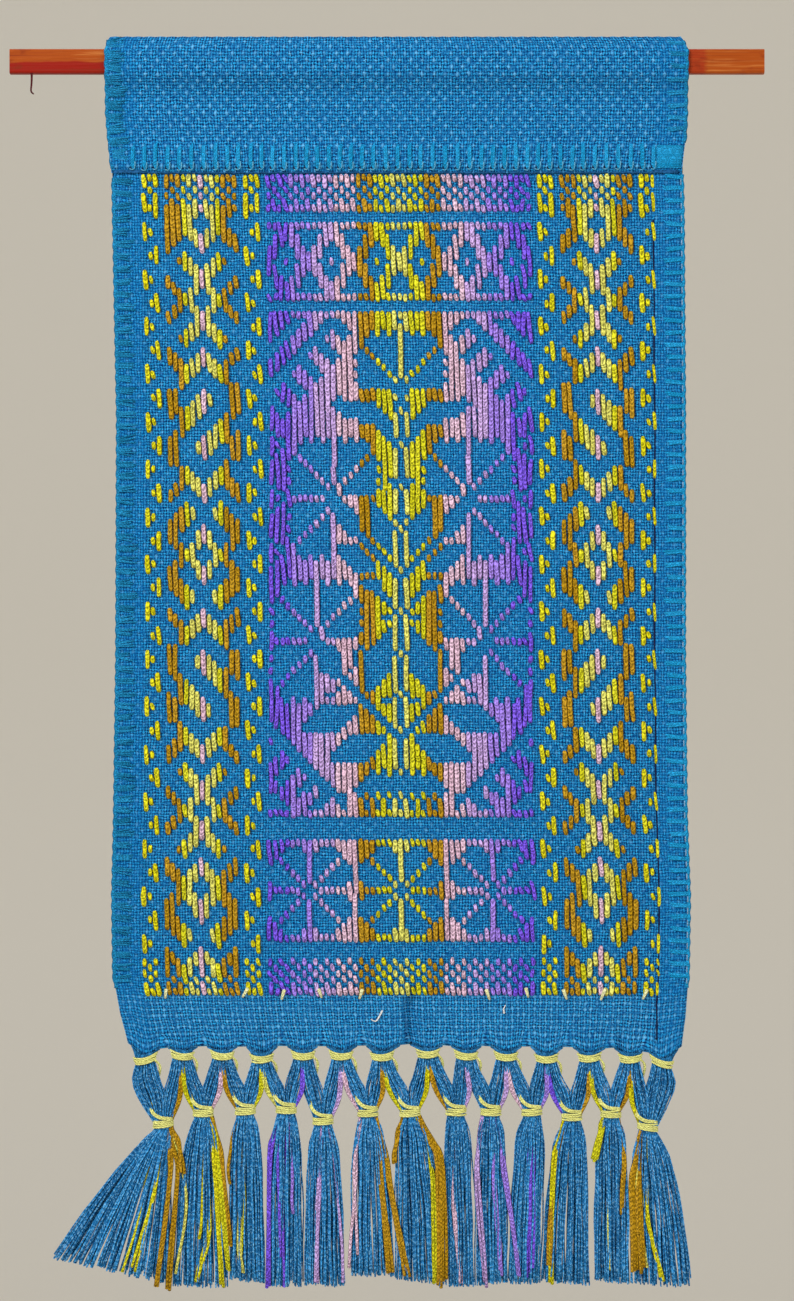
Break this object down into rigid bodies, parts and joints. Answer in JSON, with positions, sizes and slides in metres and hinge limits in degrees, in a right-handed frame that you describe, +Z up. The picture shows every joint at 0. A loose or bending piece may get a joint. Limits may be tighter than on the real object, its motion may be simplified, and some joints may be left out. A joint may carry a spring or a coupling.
{
  "type": "woven wall hanging on a wooden rod",
  "caption": "Narrow woven cloth with coloured pattern yarns, folded over a wooden rod at its head, with a netted and tasselled fringe at its foot.",
  "frame": {"origin": "the middle of the rod, on its centre line", "axes": "+X along the rod to the viewer's right, +Y towards the wall behind, +Z up; the patterned front faces -Y"},
  "size_m": [0.3166, 0.0095, 0.5257],
  "materials": {
    "rod": "orange-red stained wood with a dull sheen",
    "cloth": "blue even-weave cotton",
    "fringe": "blue cotton yarn ends",
    "pattern": "soft coloured cotton yarn: yellow, mustard, pink, lilac and violet",
    "binding": "pale yellow stranded thread"
  },
  "bodies": {
    "root": {"rod": "rod", "cloth": "cloth", "fringe_net": "fringe", "binding_upper_01": "binding", "binding_upper_02": "binding", "binding_upper_03": "binding", "binding_upper_04": "binding", "binding_upper_05": "binding", "binding_upper_06": "binding", "binding_upper_07": "binding", "binding_upper_08": "binding", "binding_upper_09": "binding", "binding_upper_10": "binding", "binding_upper_11": "binding", "binding_upper_12": "binding", "binding_upper_13": "binding", "binding_upper_14": "binding", "binding_lower_01": "binding", "binding_lower_02": "binding", "binding_lower_03": "binding", "binding_lower_04": "binding", "binding_lower_05": "binding", "binding_lower_06": "binding", "binding_lower_07": "binding", "binding_lower_08": "binding", "binding_lower_09": "binding", "binding_lower_10": "binding", "binding_lower_11": "binding", "binding_lower_12": "binding", "binding_lower_13": "binding", "tassel_01": "fringe", "tassel_02": "fringe", "tassel_03": "fringe", "tassel_04": "fringe", "tassel_05": "fringe", "tassel_06": "fringe", "tassel_07": "fringe", "tassel_08": "fringe", "tassel_09": "fringe", "tassel_10": "fringe", "tassel_11": "fringe", "tassel_12": "fringe", "tassel_13": "fringe"}
  },
  "joints": []
}
